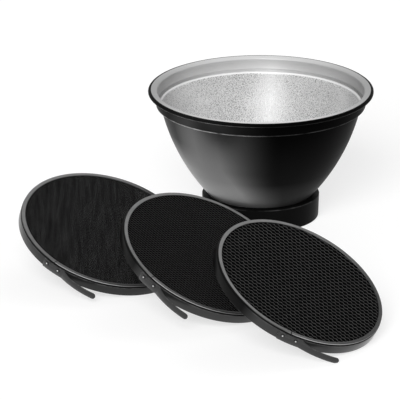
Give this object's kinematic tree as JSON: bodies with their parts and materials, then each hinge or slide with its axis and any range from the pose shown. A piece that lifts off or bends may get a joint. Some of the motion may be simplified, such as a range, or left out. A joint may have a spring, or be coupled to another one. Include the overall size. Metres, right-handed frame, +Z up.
{
  "type": "studio flash bowl reflector with honeycomb grids",
  "caption": "Black studio flash bowl reflector, silver inside, standing on its mounting collar, with fine, medium and coarse honeycomb grids fanned in front.",
  "frame": {"origin": "middle of the whole set's footprint, on the ground that the collar and the grids' lower edges stand on", "axes": "+Z up along the reflector's axis, out of its mouth; +Y away from the picture's viewer, from the grids to the reflector; +X to the viewer's right"},
  "size_m": [0.282, 0.4436, 0.105],
  "materials": {
    "bowl_shell": "satin black outside, pebbled silver inside with a smooth silver lip",
    "collar_black": "satin black",
    "mount_steel": "machined",
    "grid_band": "dark grey anodised, satin",
    "grid_honeycomb": "matt black foil",
    "lever_strip": "dark grey, satin",
    "rivet_metal": "plain"
  },
  "bodies": {
    "reflector": {"reflector_bowl": "bowl_shell", "base_collar": "collar_black", "bayonet_ring": "mount_steel", "clamp_ring": "mount_steel", "clamp_screw_1": "mount_steel", "clamp_screw_2": "mount_steel", "clamp_screw_3": "mount_steel"},
    "grid_fine": {"grid_fine_band": "grid_band", "grid_fine_core": "grid_honeycomb", "grid_fine_lever_foot": "lever_strip", "grid_fine_rivet_1": "rivet_metal", "grid_fine_rivet_2": "rivet_metal"},
    "lever_fine": {"grid_fine_lever_blade": "lever_strip"},
    "grid_medium": {"grid_medium_band": "grid_band", "grid_medium_core": "grid_honeycomb", "grid_medium_lever_foot": "lever_strip", "grid_medium_rivet_1": "rivet_metal", "grid_medium_rivet_2": "rivet_metal"},
    "lever_medium": {"grid_medium_lever_blade": "lever_strip"},
    "grid_coarse": {"grid_coarse_band": "grid_band", "grid_coarse_core": "grid_honeycomb", "grid_coarse_lever_foot": "lever_strip", "grid_coarse_rivet_1": "rivet_metal", "grid_coarse_rivet_2": "rivet_metal"},
    "lever_coarse": {"grid_coarse_lever_blade": "lever_strip"}
  },
  "joints": [
    {"name": "grid_fine_lift", "type": "slide", "parent": "reflector", "child": "grid_fine", "axis": [0, -0.5, 0.866], "range_m": [0, 0.1]},
    {"name": "grid_medium_lift", "type": "slide", "parent": "grid_fine", "child": "grid_medium", "axis": [0, -0.5, 0.866], "range_m": [0, 0.1]},
    {"name": "grid_coarse_lift", "type": "slide", "parent": "grid_medium", "child": "grid_coarse", "axis": [0, -0.5, 0.866], "range_m": [0, 0.1]},
    {"name": "lever_fine_press", "type": "hinge", "parent": "grid_fine", "child": "lever_fine", "pos_m": [-0.10623, -0.06915, 0.01938], "axis": [0.2467, -0.3112, 0.9178], "range_deg": [0, 10], "stiffness_Nm_per_rad": 0.1},
    {"name": "lever_medium_press", "type": "hinge", "parent": "grid_medium", "child": "lever_medium", "pos_m": [-0.03187, -0.13923, 0.03101], "axis": [0.367, -0.3025, 0.8797], "range_deg": [0, 10], "stiffness_Nm_per_rad": 0.1},
    {"name": "lever_coarse_press", "type": "hinge", "parent": "grid_coarse", "child": "lever_coarse", "pos_m": [0.07665, -0.21915, 0.01598], "axis": [0.4093, -0.2898, 0.8652], "range_deg": [0, 10], "stiffness_Nm_per_rad": 0.1}
  ]
}
